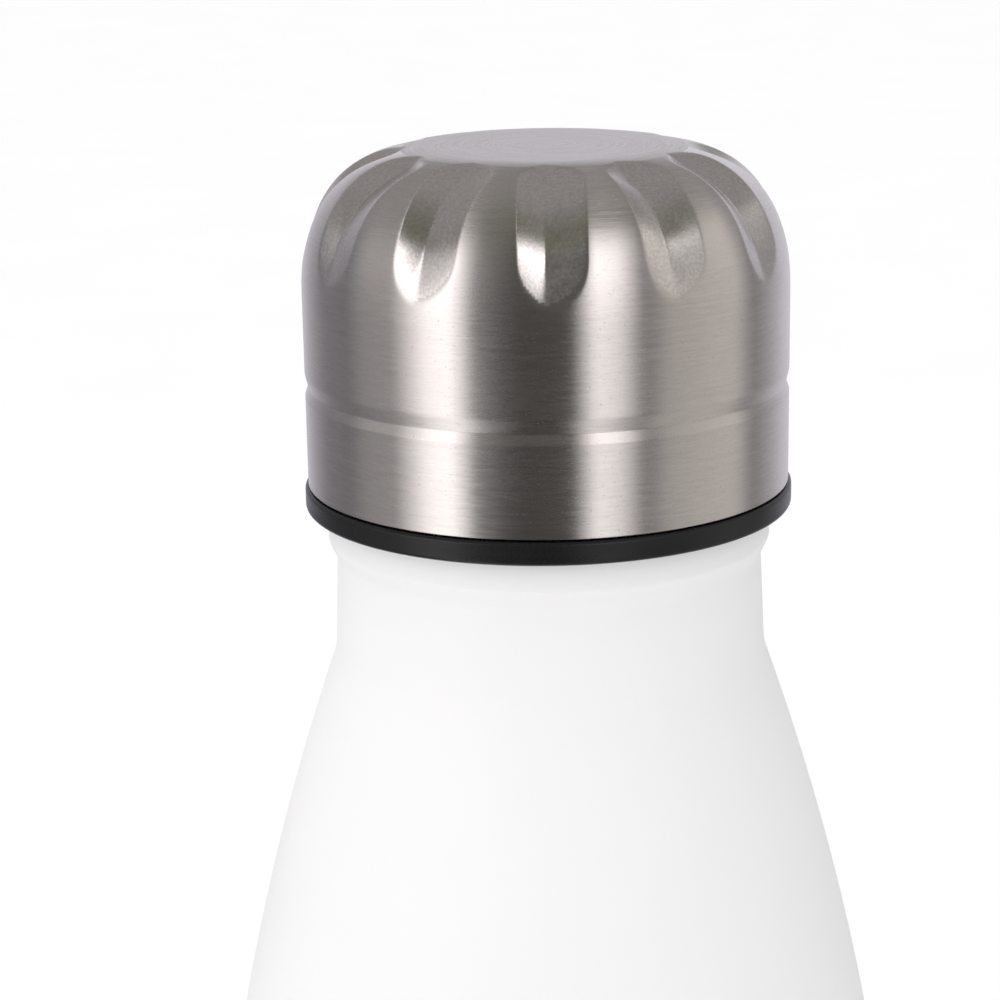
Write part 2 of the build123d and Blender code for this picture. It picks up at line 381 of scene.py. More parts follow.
def flute_stations(s, radius, flutes):
    """Sideways distances of the mesh columns across one flute and the land beside it.
    They stand closest at the flute's crease and at its edges."""
    sector = 2 * math.pi * radius / flutes
    margin = 0.3
    left, right = s.flute_left + margin, s.flute_right + margin

    def crowded(start, end, count, lines):
        x = np.linspace(start, end, 400)
        weight = 1 + sum(3.0 * np.exp(-(((x - line) / 0.3) ** 2)) for line in lines)
        total = np.concatenate([[0], np.cumsum((weight[1:] + weight[:-1]) / 2)])
        return np.interp(np.linspace(0, total[-1], count + 1)[:-1], total, x)

    faces_left = crowded(-left, 0.0, 20, (-s.flute_left, 0.0))
    faces_right = crowded(0.0, right, 26, (0.0, s.flute_right))
    land = np.linspace(right, sector - left, 17)[:-1]
    return np.concatenate([faces_left, faces_right, land])


def flute_depths(s, aside, down):
    """Depth of a flute's floor below the dome, at a distance aside from its crease and a share down its length.
    The left face is flat and steep, and the right face is wide and slightly hollow."""
    right = aside > 0
    into_top = max(0.0, (TOP_ENDS - down) / TOP_ENDS)
    into_tip = max(0.0, (down - TIP_STARTS) / (1 - TIP_STARTS))
    ends = into_top**TOP_SQUARE + into_tip**TIP_SQUARE
    soft = CREASE_SOFTNESS + TIP_SOFTNESS * min(1.0, into_tip) ** 2
    across = (np.sqrt(aside**2 + soft**2) - soft) / np.where(right, s.flute_right, s.flute_left)
    across = np.where(right, across * (1 - RIGHT_HOLLOW) + across**2 * RIGHT_HOLLOW, across)
    if down < DEEPEST:
        depth = 1 - TOP_RISE * ((DEEPEST - max(0.0, down)) / DEEPEST) ** 2
    else:
        depth = 1 - TIP_RISE * ((min(1.0, down) - DEEPEST) / (1 - DEEPEST)) ** TIP_CURVE
    raw = s.flute_depth * depth * (1 - ends - across)
    return 0.5 * (raw + np.sqrt(raw**2 + EDGE_SOFTNESS**2))


def fluted_dome(s, flutes):
    """The cap's steel skin. Returns the mesh and which of its faces lie in flutes."""
    outline = np.array(dome_outline(s))
    along = lengths_along(outline)
    corner = 1 + len(FLAT_ROWS)
    below = corner + CORNER_POINTS
    start = np.interp(FLUTE_TOP, outline[:below, 0], along[:below])
    end = np.interp(FLUTE_TIP - s.cap_top, -outline[corner:below, 1], along[corner:below])
    rings, depths = [], []
    for (r, z), (nr, nz), v in zip(outline, left_of(outline), along):
        if r < ON_AXIS:
            rings.append([(0.0, 0.0, z)])
            depths.append(np.zeros(1))
            continue
        spread = max(FLUTE_TOP, min(r, s.cap_radius))
        aside = flute_stations(s, spread, flutes)
        down = (v - start) / (end - start)
        near = NEAR_FLUTE[0] < down < NEAR_FLUTE[1]
        cut = flute_depths(s, aside, down) if near else np.zeros(len(aside))
        turn = np.concatenate([aside / spread + 2 * math.pi * k / flutes for k in range(flutes)])
        turn += math.radians(FLUTE_TURN - 90)
        cut = np.tile(cut, flutes)
        rr, zz = r - nr * cut, z - nz * cut
        rings.append(np.stack([rr * np.cos(turn), rr * np.sin(turn), zz], axis=1))
        depths.append(cut)
    # The inner side is plain, because the sleeve and the foam fill the cap.
    inside = [
        (s.cap_radius - s.cap_skin, s.cap_top - DOME_HEIGHT - 3.0),
        (s.cap_radius - 1.6, s.cap_top - DOME_HEIGHT + 1.0),
        (s.cap_radius - 2.2, s.cap_top - 8.0),
        (s.cap_radius - 4.0, s.cap_top - 5.0),
        (s.cap_radius - 7.0, s.cap_top - 2.7),
        (s.cap_radius - 11.0, s.cap_top - 1.6),
        (5.0, s.cap_top - 0.9),
        (0.0, s.cap_top - 0.9),
    ]
    rings += turned_rings(inside, len(rings[1]))
    mesh = ring_mesh("cap_dome", rings, closed=False)
    flat_depths = np.concatenate(depths + [np.zeros(len(r)) for r in rings[len(depths) :]])
    fluted = [min(flat_depths[v] for v in face.vertices) > FLUTED_DEPTH for face in mesh.polygons]
    return mesh, fluted


# ---------------------------------------- finishes


class Recipe:
    """Adds shader nodes to a material or a world and joins them."""

    def __init__(self, tree):
        self.tree = tree
        self.shader = tree.nodes.get("Principled BSDF")

    def put(self, kind, *values, **settings):
        """One node. Plain values and sockets go to its inputs in order, or by the names or numbers in a dict."""
        node = self.tree.nodes.new("ShaderNode" + kind)
        for key, value in settings.items():
            setattr(node, key, value)
        named = values[0] if values and isinstance(values[0], dict) else dict(enumerate(values))
        for key, value in named.items():
            if isinstance(value, bpy.types.NodeSocket):
                self.tree.links.new(value, node.inputs[key])
            else:
                node.inputs[key].default_value = value
        return node

    def math(self, operation, *values):
        """The result of a Math node."""
        return self.put("Math", *values, operation=operation).outputs[0]

    def noise(self, vector, scale, detail=2.0, roughness=0.5):
        """A noise value from 0 to 1."""
        wanted = {"Vector": vector, "Scale": scale, "Detail": detail, "Roughness": roughness}
        return self.put("TexNoise", wanted).outputs[0]

    def between(self, value, low_in, high_in, low_out=0.0, high_out=1.0):
        """A value moved from one range to another, and held inside it."""
        wanted = {"Value": value, "From Min": low_in, "From Max": high_in, "To Min": low_out, "To Max": high_out}
        return self.put("MapRange", wanted).outputs[0]

    def spread(self, noise, low_out=0.0, high_out=1.0):
        """A noise moved to a range, from the middle values that it mostly has."""
        return self.between(noise, 0.35, 0.65, low_out, high_out)

    def blend(self, first, share, second, other_share):
        """Two values added in their shares."""
        return self.math("ADD", self.math("MULTIPLY", first, share), self.math("MULTIPLY", second, other_share))

    def bump(self, height, distance):
        """A normal that carries a height, with the distance in metres that a height of 1 stands for."""
        return self.put("Bump", {"Strength": 1.0, "Distance": distance, "Height": height}).outputs[0]

    def mixed(self, factor, first, second):
        """A colour between two, each a socket or a tuple."""
        first, second = ((*end, 1.0) if isinstance(end, tuple) else end for end in (first, second))
        return self.put("Mix", {0: factor, 6: first, 7: second}, data_type="RGBA").outputs[2]

    def shaded(self, base, factor, dark, light):
        """A colour varied in brightness by a factor from 0 to 1."""
        return self.mixed(factor, tuple(c * dark for c in base), tuple(min(1.0, c * light) for c in base))

    def places(self):
        """Object coordinates, in metres."""
        return self.put("TexCoord").outputs["Object"]

    def spun(self, along, across):
        """Coordinates whose grain runs round the axis on the side of a piece, and in rings on its flat ends."""
        places = self.places()
        x, y, z = self.put("SeparateXYZ", places).outputs
        level = self.put("VectorMath", places, (1.0, 1.0, 0.0), operation="MULTIPLY").outputs[0]
        radius = self.put("VectorMath", level, operation="LENGTH").outputs["Value"]
        drop = self.math("SUBTRACT", radius, z)
        scaled = (self.math("MULTIPLY", value, scale) for value, scale in ((x, along), (y, along), (drop, across)))
        return self.put("CombineXYZ", *scaled).outputs[0]

    def wire(self, **sockets):
        """Joins node results to the shader's inputs."""
        for key, socket in sockets.items():
            self.tree.links.new(socket, self.shader.inputs[key.replace("_", " ").title()])


def start_finish(name, **values):
    """The recipe of a new material, with the plain values set on the shader's own sockets."""
    material = bpy.data.materials.new(name)
    material.use_nodes = True
    recipe = Recipe(material.node_tree)
    for key, value in values.items():
        recipe.shader.inputs[key.replace("_", " ").title().replace("Ior", "IOR")].default_value = value
    return recipe


def brushed_steel(
    name, base, grain_across=5600.0, grain_along=560.0, rough=(0.23, 0.30), anisotropy=1.0, depth=2.4e-6
):
    """Steel brushed round the axis: fine broken lines, longer faint streaks and a few pits, dented in the bump and
    with painted shade darkening their colour.
    """
    recipe = start_finish(name, metallic=1.0, anisotropic=anisotropy, anisotropic_rotation=0.25)
    fine = recipe.noise(recipe.spun(grain_along, grain_across), 1.0, 3.0, 0.6)
    long_lines = recipe.noise(recipe.spun(grain_along * 0.25, grain_across * 0.5), 1.0, 2.0, 0.5)
    cloud = recipe.noise(recipe.places(), 90.0, 3.0, 0.5)
    pits_with_painted_shade = recipe.between(recipe.noise(recipe.places(), 5200.0, 1.0), 0.69, 0.74)
    lines = recipe.blend(fine, 0.65, long_lines, 0.35)
    tone = recipe.between(lines, 0.36, 0.64)
    steel = recipe.shaded(base, tone, 0.93, 1.06)
    # Painted shade: the colour is darkened in the pits, where the bump dents the steel.
    steel = recipe.mixed(recipe.math("MULTIPLY", pits_with_painted_shade, 0.35), steel, tuple(c * 0.55 for c in base))
    roughness = recipe.between(recipe.blend(lines, 0.6, cloud, 0.4), 0.38, 0.62, *rough)
    height = recipe.math("SUBTRACT", lines, recipe.math("MULTIPLY", pits_with_painted_shade, 0.8))
    tangent = recipe.put("Tangent", direction_type="RADIAL", axis="Z").outputs[0]
    recipe.wire(base_color=steel, roughness=roughness, normal=recipe.bump(height, depth), tangent=tangent)


def pressed_steel(name, base):
    """Steel as a press leaves it: a fine sandy surface with small bright and dark specks."""
    recipe = start_finish(name, metallic=1.0)
    places = recipe.places()
    sand = recipe.noise(places, 3800.0, 2.0, 0.6)
    cloud = recipe.noise(places, 420.0, 3.0, 0.55)
    both = recipe.blend(sand, 0.8, cloud, 0.2)
    tone = recipe.between(both, 0.36, 0.64)
    recipe.wire(
        base_color=recipe.shaded(base, tone, 0.88, 1.08),
        roughness=recipe.spread(cloud, 0.2, 0.27),
        normal=recipe.bump(sand, 5.0e-6),
    )


def matt_steel(name, base):
    """Steel with an even matt face: faint rings from the lathe under a fine blasted grain."""
    recipe = start_finish(name, metallic=1.0)
    grain = recipe.noise(recipe.places(), 4600.0, 2.0, 0.6)
    rings = recipe.noise(recipe.spun(220.0, 4200.0), 1.0, 2.0)
    both = recipe.blend(grain, 0.5, rings, 0.5)
    tone = recipe.between(both, 0.38, 0.62)
    recipe.wire(
        base_color=recipe.shaded(base, tone, 0.95, 1.04),
        roughness=recipe.spread(rings, 0.26, 0.32),
        normal=recipe.bump(both, 2.6e-6),
    )


def powder_coat(name, base):
    """Satin powder coat: a fine orange peel, and faint broad changes of tone."""
    recipe = start_finish(name, ior=1.5, specular_ior_level=0.3)
    places = recipe.places()
    peel = recipe.noise(places, 1500.0, 2.0, 0.45)
    grit = recipe.noise(places, 5200.0, 1.0)
    cloud = recipe.noise(places, 45.0, 2.0)
    height = recipe.math("ADD", peel, recipe.math("MULTIPLY", grit, 0.25))
    recipe.wire(
        base_color=recipe.shaded(base, recipe.spread(cloud), 0.992, 1.004),
        roughness=recipe.between(recipe.math("ADD", cloud, peel), 0.8, 1.2, 0.5, 0.58),
        normal=recipe.bump(height, 7.0e-6),
    )


def moulded_plastic(name, base):
    """Satin moulded plastic with a fine spark-eroded grain and faint scuffs."""
    recipe = start_finish(name, ior=1.49, specular_ior_level=0.3)
    places = recipe.places()
    grain = recipe.noise(places, 4200.0, 2.0, 0.55)
    scuff = recipe.noise(recipe.spun(60.0, 1600.0), 1.0, 2.0)
    cloud = recipe.noise(places, 160.0, 2.0)
    recipe.wire(
        base_color=recipe.shaded(base, recipe.spread(cloud), 0.85, 1.25),
        roughness=recipe.between(recipe.math("ADD", grain, scuff), 0.75, 1.25, 0.25, 0.36),
        normal=recipe.bump(grain, 6.0e-6),
    )


def soft_silicone(name, base):
    """Milky silicone rubber with a dusty, slightly uneven surface."""
    recipe = start_finish(name, ior=1.41, subsurface_weight=0.35, subsurface_scale=0.0012)
    places = recipe.places()
    dust = recipe.noise(places, 2600.0, 2.0, 0.5)
    cloud = recipe.noise(places, 240.0, 2.0)
    recipe.wire(
        base_color=recipe.shaded(base, recipe.spread(cloud), 0.96, 1.02),
        roughness=recipe.spread(dust, 0.42, 0.58),
        normal=recipe.bump(dust, 6.0e-6),
    )


def plain_metal(name, base, grain, depth, rough):
    """Metal with an even grain, for parts that stay hidden in the vacuum."""
    recipe = start_finish(name, metallic=1.0)
    places = recipe.places()
    grit = recipe.noise(places, grain, 3.0, 0.6)
    cloud = recipe.noise(places, grain * 0.06, 2.0)
    recipe.wire(
        base_color=recipe.shaded(base, recipe.spread(cloud), 0.86, 1.08),
        roughness=recipe.spread(grit, rough - 0.07, rough + 0.07),
        normal=recipe.bump(grit, depth),
    )


def solder_glass(name, base):
    """A dull bead of sealing glass with small bubbles."""
    recipe = start_finish(name, ior=1.6)
    places = recipe.places()
    bubbles = recipe.put("TexVoronoi", {"Vector": places, "Scale": 1800.0}).outputs[0]
    cloud = recipe.noise(places, 700.0, 2.0)
    recipe.wire(
        base_color=recipe.shaded(base, cloud, 0.8, 1.15),
        roughness=recipe.between(bubbles, 0.0, 0.6, 0.15, 0.3),
        normal=recipe.bump(bubbles, 2.0e-5),
    )


def rigid_foam(name, base):
    """Rigid insulating foam with small open cells, with painted shade darkening their hollows."""
    recipe = start_finish(name, ior=1.4)
    places = recipe.places()
    cells_and_painted_shade = recipe.put("TexVoronoi", {"Vector": places, "Scale": 1500.0}).outputs[0]
    cloud = recipe.noise(places, 300.0, 2.0)
    recipe.wire(
        # Painted shade: the colour is darker towards each cell's middle, where the bump makes its hollow.
        base_color=recipe.shaded(base, recipe.math("MULTIPLY", cells_and_painted_shade, recipe.math("ADD", cloud, 0.6)), 0.8, 1.05),
        roughness=recipe.spread(cloud, 0.8, 0.95),
        normal=recipe.bump(cells_and_painted_shade, 1.2e-4),
    )


def pale_floor(name, base):
    """Plain pale board, with the faintest grain."""
    recipe = start_finish(name, ior=1.3)
    cloud = recipe.noise(recipe.places(), 12.0, 3.0)
    recipe.wire(
        base_color=recipe.shaded(base, recipe.spread(cloud), 0.995, 1.0),
        roughness=recipe.between(cloud, 0.3, 0.7, 0.75, 0.85),
    )


def finish(slot_name):
    """The material for this finish, mixed the first time it is asked for."""
    look = bpy.context.scene.bottle_finish
    name = slot_name + "_finish"
    makers = {
        "white_coat": (powder_coat, look.coat),
        "cap_steel": (brushed_steel, look.steel),
        "flute_steel": (pressed_steel, look.steel),
        "top_steel": (matt_steel, look.steel),
        "liner_steel": (brushed_steel, look.liner_steel, 3600.0, 160.0, (0.24, 0.34), 0.6, 3.0e-6),
        "base_steel": (brushed_steel, look.liner_steel, 4200.0, 200.0, (0.28, 0.38), 0.6, 3.0e-6),
        "black_plastic": (moulded_plastic, look.plastic),
        "silicone": (soft_silicone, look.silicone),
        "copper": (plain_metal, (0.93, 0.52, 0.36), 2400.0, 6.0e-6, 0.32),
        "getter_metal": (plain_metal, (0.30, 0.29, 0.28), 5200.0, 2.0e-5, 0.62),
        "solder_glass": (solder_glass, (0.16, 0.17, 0.15)),
        "foam": (rigid_foam, (0.86, 0.80, 0.58)),
        "pale_floor": (pale_floor, look.floor),
    }
    if name not in bpy.data.materials:
        make, *values = makers[slot_name]
        make(name, *values)
    return bpy.data.materials[name]


# ---------------------------------------- one operator for each piece

# Fixed sizes in millimetres. A drop is measured down from the cap's flat top.
ARC_SHARE = 0.985  # the shoulder's arc stops short by the rest, which leaves room to round its corner
NECK_FOOT_DROP = 47.5  # where the neck meets the shoulder
NECK_TOP_DROP = 38.1  # where the neck meets the collar's slope
COLLAR_DROP = 36.4  # the lower edge of the collar's straight wall
LIP_STEP = 0.12  # the outer shell stops this far under the rim
LIP_INSET = 0.45  # from the collar's outside to the edge of the liner's lip
FOOT_RADIUS = 27.5  # inside of the flat ring that the bottle stands on
RECESS_RADIUS, RECESS_HEIGHT = 26.0, 2.4
VENT_RADIUS, VENT_HEIGHT, VENT_HOLE = 5.5, 3.6, 1.2  # the well in the recess, and the hole in its middle
BARE_RADIUS = 26.6  # no coat inside this
GASKET_BORE = 16.4
STOPPER_RADIUS, STOPPER_BORE, FLANGE_HEIGHT = 15.9, 13.9, 1.5
RING_HEIGHT, RING_BORE, RING_MIDDLE = 2.15, 20.9, 21.8  # the middle is that of its underside
SLEEVE_TOP_DROP, SLEEVE_WALL = 16.0, 1.4
SHELF_RADIUS, SHELF_BOTTOM, SHELF_TOP = 16.1, 1.7, 3.2  # the sleeve's shelf; heights from the ring's underside
STEEL_CLEARANCE = 0.3  # between the cap's steel and the sleeve


def shoulder_circle(s):
    """The centre of the shoulder's arc in profile as (radius, height), and the height of the neck's foot."""
    centre_r = s.body_radius - s.shoulder_arc
    neck_foot = s.cap_top - NECK_FOOT_DROP
    base = neck_foot - math.sqrt(s.shoulder_arc**2 - (s.neck_foot_radius - centre_r) ** 2)
    return centre_r, base, neck_foot


class BOTTLE_OT_outer_vessel(bpy.types.Operator):
    """Turns the powder-coated shell and the base pan under it"""

    bl_idname = "bottle.outer_vessel"
    bl_label = "Outer Vessel"

    def execute(self, context):
        s = sizes_in_mm(context)
        centre_r, base, neck_foot = shoulder_circle(s)
        sweep = math.asin((neck_foot - base) / s.shoulder_arc)
        wall = [(s.body_radius, z) for z in np.linspace(s.base_seam, base, 14)[:-1]]
        shoulder = arc_between((centre_r, base), s.shoulder_arc, 0.0, sweep * ARC_SHARE, 54)
        collar = rounded(
            [
                (*shoulder[-1], 0),
                (s.neck_foot_radius, neck_foot, 7.0),
                (s.neck_radius, s.cap_top - NECK_TOP_DROP, 1.5),
                (s.collar_radius, s.cap_top - COLLAR_DROP, 1.2),
                (s.collar_radius, s.rim - LIP_STEP, 0.25),
                (s.collar_radius - s.steel, s.rim - LIP_STEP, 0),
            ],
            step=3.0,
        )
        outside = wall + shoulder + collar[1:]
        # The inner side leaves out the last few points, which go round the collar's top, and has half the rows.
        inside = offset_line(wall + shoulder + collar[1:-8], s.steel)[::-1]
        mesh = turned("vessel_shell", outside + inside[::2] + [inside[-1]], 256)
        new_piece(mesh, "bottle", "white_coat", ["outer_shell"])

        pan = rounded(
            [
                (s.body_radius, s.base_seam, 0),
                (s.body_radius, 0.0, 5.5),
                (FOOT_RADIUS, 0.0, 0.8),
                (RECESS_RADIUS, RECESS_HEIGHT, 0.8),
                (VENT_RADIUS + 1.0, RECESS_HEIGHT, 0.4),
                (VENT_RADIUS, VENT_HEIGHT, 0.4),
                (VENT_HOLE, VENT_HEIGHT, 0),
            ],
            step=7.5,
        )
        mesh = turned("base_pan", pan + offset_line(pan, -s.steel)[::-1], 256)
        new_piece(mesh, "bottle", "white_coat", ["outer_base"], ["liner_steel"])
        for face in mesh.polygons:
            if math.hypot(face.center.x, face.center.y) < BARE_RADIUS * MM:
                face.material_index = 1
        return {"FINISHED"}


class BOTTLE_OT_base_disc(bpy.types.Operator):
    """Turns the steel disc that covers the sealed vent under the base"""

    bl_idname = "bottle.base_disc"
    bl_label = "Base Disc"

    def execute(self, context):
        bottom, top, radius = span("base_disc")
        dish = bottom + 0.12
        outline = rounded(
            [
                (0.0, dish, 0),
                (radius - 1.6, dish, 0.4),
                (radius - 1.2, bottom, 0.3),
                (radius, bottom, 0.15),
                (radius, top, 0.1),
                (0.0, top, 0),
            ],
            step=15.0,
        )
        new_piece(turned("base_disc_cover", outline, 160), "bottle", "base_steel", ["base_disc"])
        return {"FINISHED"}


class BOTTLE_OT_liner(bpy.types.Operator):
    """Turns the bare steel liner with its lip and thread, and the liner's base"""

    bl_idname = "bottle.liner"
    bl_label = "Liner"

    def execute(self, context):
        s = sizes_in_mm(context)
        centre_r, base, _ = shoulder_circle(s)
        radius = s.liner_radius - centre_r
        sweep = math.acos((s.mouth_radius - centre_r) / radius)
        mouth_foot = base + radius * math.sin(sweep)
        lip_edge = s.collar_radius - LIP_INSET
        back_radius = s.mouth_radius + s.steel
        wall = [(s.liner_radius, z) for z in np.linspace(s.liner_seam, base, 10)[:-1]]
        shoulder = arc_between((centre_r, base), radius, 0.0, sweep * ARC_SHARE, 40)
        mouth = rounded(
            [
                (*shoulder[-1], 0),
                (s.mouth_radius, mouth_foot, 6.0),
                (s.mouth_radius, s.rim, 0.8),
                (lip_edge, s.rim, 0.22),
                (lip_edge, s.rim - s.steel, 0.22),
                (back_radius, s.rim - s.steel, 0.3),
                (back_radius, mouth_foot + 1.0, 0),
            ],
            step=9.0,
        )
        back = offset_line(wall + shoulder, -s.steel)[::-1]
        mesh = turned("liner", wall + shoulder + mouth[1:] + back, 224)
        add_thread(
            mesh, s.mouth_radius, s.mouth_radius - 1.0, s.pitch, start=s.rim - 13.5, rise=9.0, widths=(2.4, 1.2)
        )
        new_piece(mesh, "bottle", "liner_steel", ["inner_liner"])

        bottom = span("inner_base")[0] + s.steel
        dish = rounded([(s.liner_radius, s.liner_seam, 0), (s.liner_radius, bottom, 9.5), (0.0, bottom, 0)], step=6.0)
        mesh = turned("liner_base", dish + offset_line(dish, -s.steel)[::-1])
        new_piece(mesh, "bottle", "liner_steel", ["inner_base"])
        return {"FINISHED"}


class BOTTLE_OT_gasket(bpy.types.Operator):
    """Turns the silicone gasket that seals on the rim"""

    bl_idname = "bottle.gasket"
    bl_label = "Gasket"

    def execute(self, context):
        bottom, top, outer = span("gasket")
        outline = rounded(
            [
                (GASKET_BORE + 1.0, bottom, 0),
                (outer, bottom, 0.35),
                (outer, top, 0.35),
                (GASKET_BORE, top, 0.35),
                (GASKET_BORE, bottom, 0.35),
                (GASKET_BORE + 1.0, bottom, 0),
            ],
            step=15.0,
        )[:-1]
        new_piece(turned("rim_gasket", outline), "seal", "silicone", ["gasket"])
        return {"FINISHED"}


class BOTTLE_OT_stopper(bpy.types.Operator):
    """Turns the threaded stopper and the plug that closes its lower end"""

    bl_idname = "bottle.stopper"
    bl_label = "Stopper"

    def execute(self, context):
        s = sizes_in_mm(context)
        plug_top, top, flange = span("stopper")
        outline = rounded(
            [
                (STOPPER_BORE + 1.0, plug_top, 0),
                (STOPPER_RADIUS, plug_top, 0.15),
                (STOPPER_RADIUS, top - FLANGE_HEIGHT, 0),
                (flange, top - FLANGE_HEIGHT, 0.3),
                (flange, top, 0.3),
                (STOPPER_BORE, top, 0.2),
                (STOPPER_BORE, plug_top, 0.1),
                (STOPPER_BORE + 1.0, plug_top, 0),
            ],
            step=15.0,
        )[:-1]
        mesh = turned("threaded_stopper", outline)
        add_thread(
            mesh, STOPPER_RADIUS, STOPPER_RADIUS + 1.1, s.pitch, start=s.rim - 15.5, rise=10.0, widths=(2.0, 1.0)
        )
        new_piece(mesh, "cap", "black_plastic", ["stopper"])

        # The plug: a gate mark in a shallow hollow below, and a spigot above that stands in the stopper's bore.
        bottom, spigot, _ = span("stopper_plug")
        outline = rounded(
            [
                (0.0, bottom + 0.25, 0),
                (1.5, bottom + 0.25, 0.1),
                (1.6, bottom + 0.5, 0.1),
                (12.4, bottom + 0.5, 0.4),
                (13.0, bottom, 0.4),
                (STOPPER_RADIUS, bottom, 1.2),
                (STOPPER_RADIUS, plug_top, 0.15),
                (STOPPER_BORE - 0.2, plug_top, 0),
                (STOPPER_BORE - 0.2, spigot, 0.2),
                (STOPPER_BORE - 1.6, spigot, 0.2),
                (STOPPER_BORE - 1.6, plug_top, 0.2),
                (0.0, plug_top, 0),
            ],
            step=10.0,
        )
        new_piece(turned("stopper_end", outline), "cap", "black_plastic", ["stopper_plug"])
        return {"FINISHED"}


class BOTTLE_OT_cap_sleeve(bpy.types.Operator):
    """Turns the plastic sleeve inside the cap, with the black ring that shows under the steel"""

    bl_idname = "bottle.cap_sleeve"
    bl_label = "Cap Sleeve"

    def execute(self, context):
        s = sizes_in_mm(context)
        ring_top = s.ring_bottom + RING_HEIGHT
        shelf_bottom, shelf_top = s.ring_bottom + SHELF_BOTTOM, s.ring_bottom + SHELF_TOP
        skirt = s.cap_radius - s.cap_skin - STEEL_CLEARANCE
        crease = s.cap_top - s.crease_drop
        outline = rounded(
            [
                (RING_MIDDLE, s.ring_bottom, 0),
                (s.ring_radius, s.ring_bottom, 0.45),
                (s.ring_radius, ring_top, 0.35),
                (skirt, ring_top, 0),
                (skirt, crease - 1.2, 0.3),
                (skirt - CREASE_DEPTH, crease, 0.3),
                (skirt, crease + 1.4, 0.3),
                (skirt, s.cap_top - SLEEVE_TOP_DROP, 0.4),
                (skirt - SLEEVE_WALL, s.cap_top - SLEEVE_TOP_DROP, 0.3),
                (skirt - SLEEVE_WALL, shelf_top, 0.3),
                (SHELF_RADIUS, shelf_top, 0.2),
                (SHELF_RADIUS, shelf_bottom, 0.2),
                (RING_BORE, shelf_bottom, 0.2),
                (RING_BORE, s.ring_bottom, 0.2),
                (RING_MIDDLE, s.ring_bottom, 0),
            ],
            step=11.0,
        )[:-1]
        new_piece(turned("sleeve_and_ring", outline, 224), "cap", "black_plastic", ["cap_sleeve"])
        return {"FINISHED"}


class BOTTLE_OT_cap_dome(bpy.types.Operator):
    """Presses the fluted steel dome of the cap"""

    bl_idname = "bottle.cap_dome"
    bl_label = "Cap Dome"

    def execute(self, context):
        s = sizes_in_mm(context)
        mesh, fluted = fluted_dome(s, context.scene.bottle_finish.flutes)
        new_piece(mesh, "cap", "cap_steel", ["cap_shell"], ["flute_steel", "top_steel"], sharp=60.0)
        for face, in_flute in zip(mesh.polygons, fluted):
            on_top = math.hypot(face.center.x, face.center.y) < TOP_RADIUS * MM and face.normal.z > 0
            face.material_index = 1 if in_flute else 2 if on_top else 0
        return {"FINISHED"}


class BOTTLE_OT_hidden_parts(bpy.types.Operator):
    """Finishes the parts that keep their CAD shape: foil, getter, clip, sealing bead and foam"""

    bl_idname = "bottle.hidden_parts"
    bl_label = "Hidden Parts"

    def execute(self, context):
        kept = {
            "copper_foil": "copper",
            "getter": "getter_metal",
            "getter_clip": "liner_steel",
            "seal_bead": "solder_glass",
            "foam_core": "foam",
        }
        for node, name in kept.items():
            piece = frame["nodes"][node]
            if not piece.material_slots:
                piece.data.materials.append(None)
            for material_slot in piece.material_slots:
                material_slot.material = finish(name)
        return {"FINISHED"}


# ---------------------------------------- stage

FLOOR_REACH, FLOOR_GAP = 12.0, 0.0001  # half the floor's side, and how far it lies under the foot ring, in metres
CAMERA_LENS, CAMERA_SHIFT = 95.87, -0.0486
CAMERA_BACK, CAMERA_ABOVE = 0.2426, 0.0325  # metres from the bottle's axis, and above the cap's top
CAMERA_TILT, CAMERA_LEAN = 74.76, -0.716  # degrees: 90 looks level

# Bright and dark panels that stand round the bottle, from behind it on the left, past the camera, to behind it on
# the right. Each has a name, the degrees from the camera to its two edges, its brightness at them near the floor,
# how many times brighter it is higher up, and its tint. The light runs evenly from one panel's edge to the next.
COOL, PLAIN, WARM = (0.99, 0.975, 1.07), (1.0, 0.985, 1.0), (1.03, 1.0, 0.97)
PANELS = (
    ("back wall, left", -180, -160, 0.76, 0.66, 1.0, COOL),
    ("left flag", -128, -106, 0.25, 0.21, 1.3, COOL),
    ("left wall", -95, -76, 0.33, 0.36, 1.6, PLAIN),
    ("left softbox", -58, -46, 1.60, 1.75, 1.25, PLAIN),
    ("dark room, left of the camera", -34, -20, 0.24, 0.10, 1.4, PLAIN),
    ("dark room, right of the camera", -12, 12, 0.07, 0.08, 1.4, WARM),
    ("right softbox", 23.5, 34, 1.24, 0.98, 1.5, PLAIN),
    ("gap", 45, 50, 0.25, 0.26, 1.3, PLAIN),
    ("right wall", 58, 99, 0.50, 0.70, 1.0, WARM),
    ("right flag", 111, 116, 0.30, 0.30, 1.1, PLAIN),
    ("back wall, right", 145, 180, 0.70, 0.76, 1.0, COOL),
)
CEILING_FRONT = (0.20, 0.20, 0.168)
CEILING_BACK = (0.37, 0.36, 0.36)
CEILING_TILT = (-0.10, 0.213, 1.0)  # the ceiling comes lower behind the bottle and on its left
CEILING_EDGE = (0.44, 0.58)  # where the walls end and where the ceiling is full, measured along the tilt
LIGHT_LEAN = (-0.30, -0.27, 0.30)  # the fill light is stronger from the front left and from above
LIGHT_LEVEL = 0.845  # its level where the lean adds nothing


def panel_ramp(recipe, place, lifted):
    """The panels' light by azimuth, near the floor or lifted to its strength higher up."""
    ramp = recipe.put("ValToRGB", place)
    stops = ramp.color_ramp.elements
    wanted = [
        (edge, [glow * (lift if lifted else 1.0) * c for c in tint] + [1.0])
        for _, start, end, start_glow, end_glow, lift, tint in PANELS
        for edge, glow in ((start, start_glow), (end, end_glow))
    ]
    stops[0].color = wanted[0][1]
    stops[1].color = wanted[-1][1]
    for edge, shade in wanted[1:-1]:
        stops.new((edge + 180) / 360).color = shade
    return ramp.outputs[0]


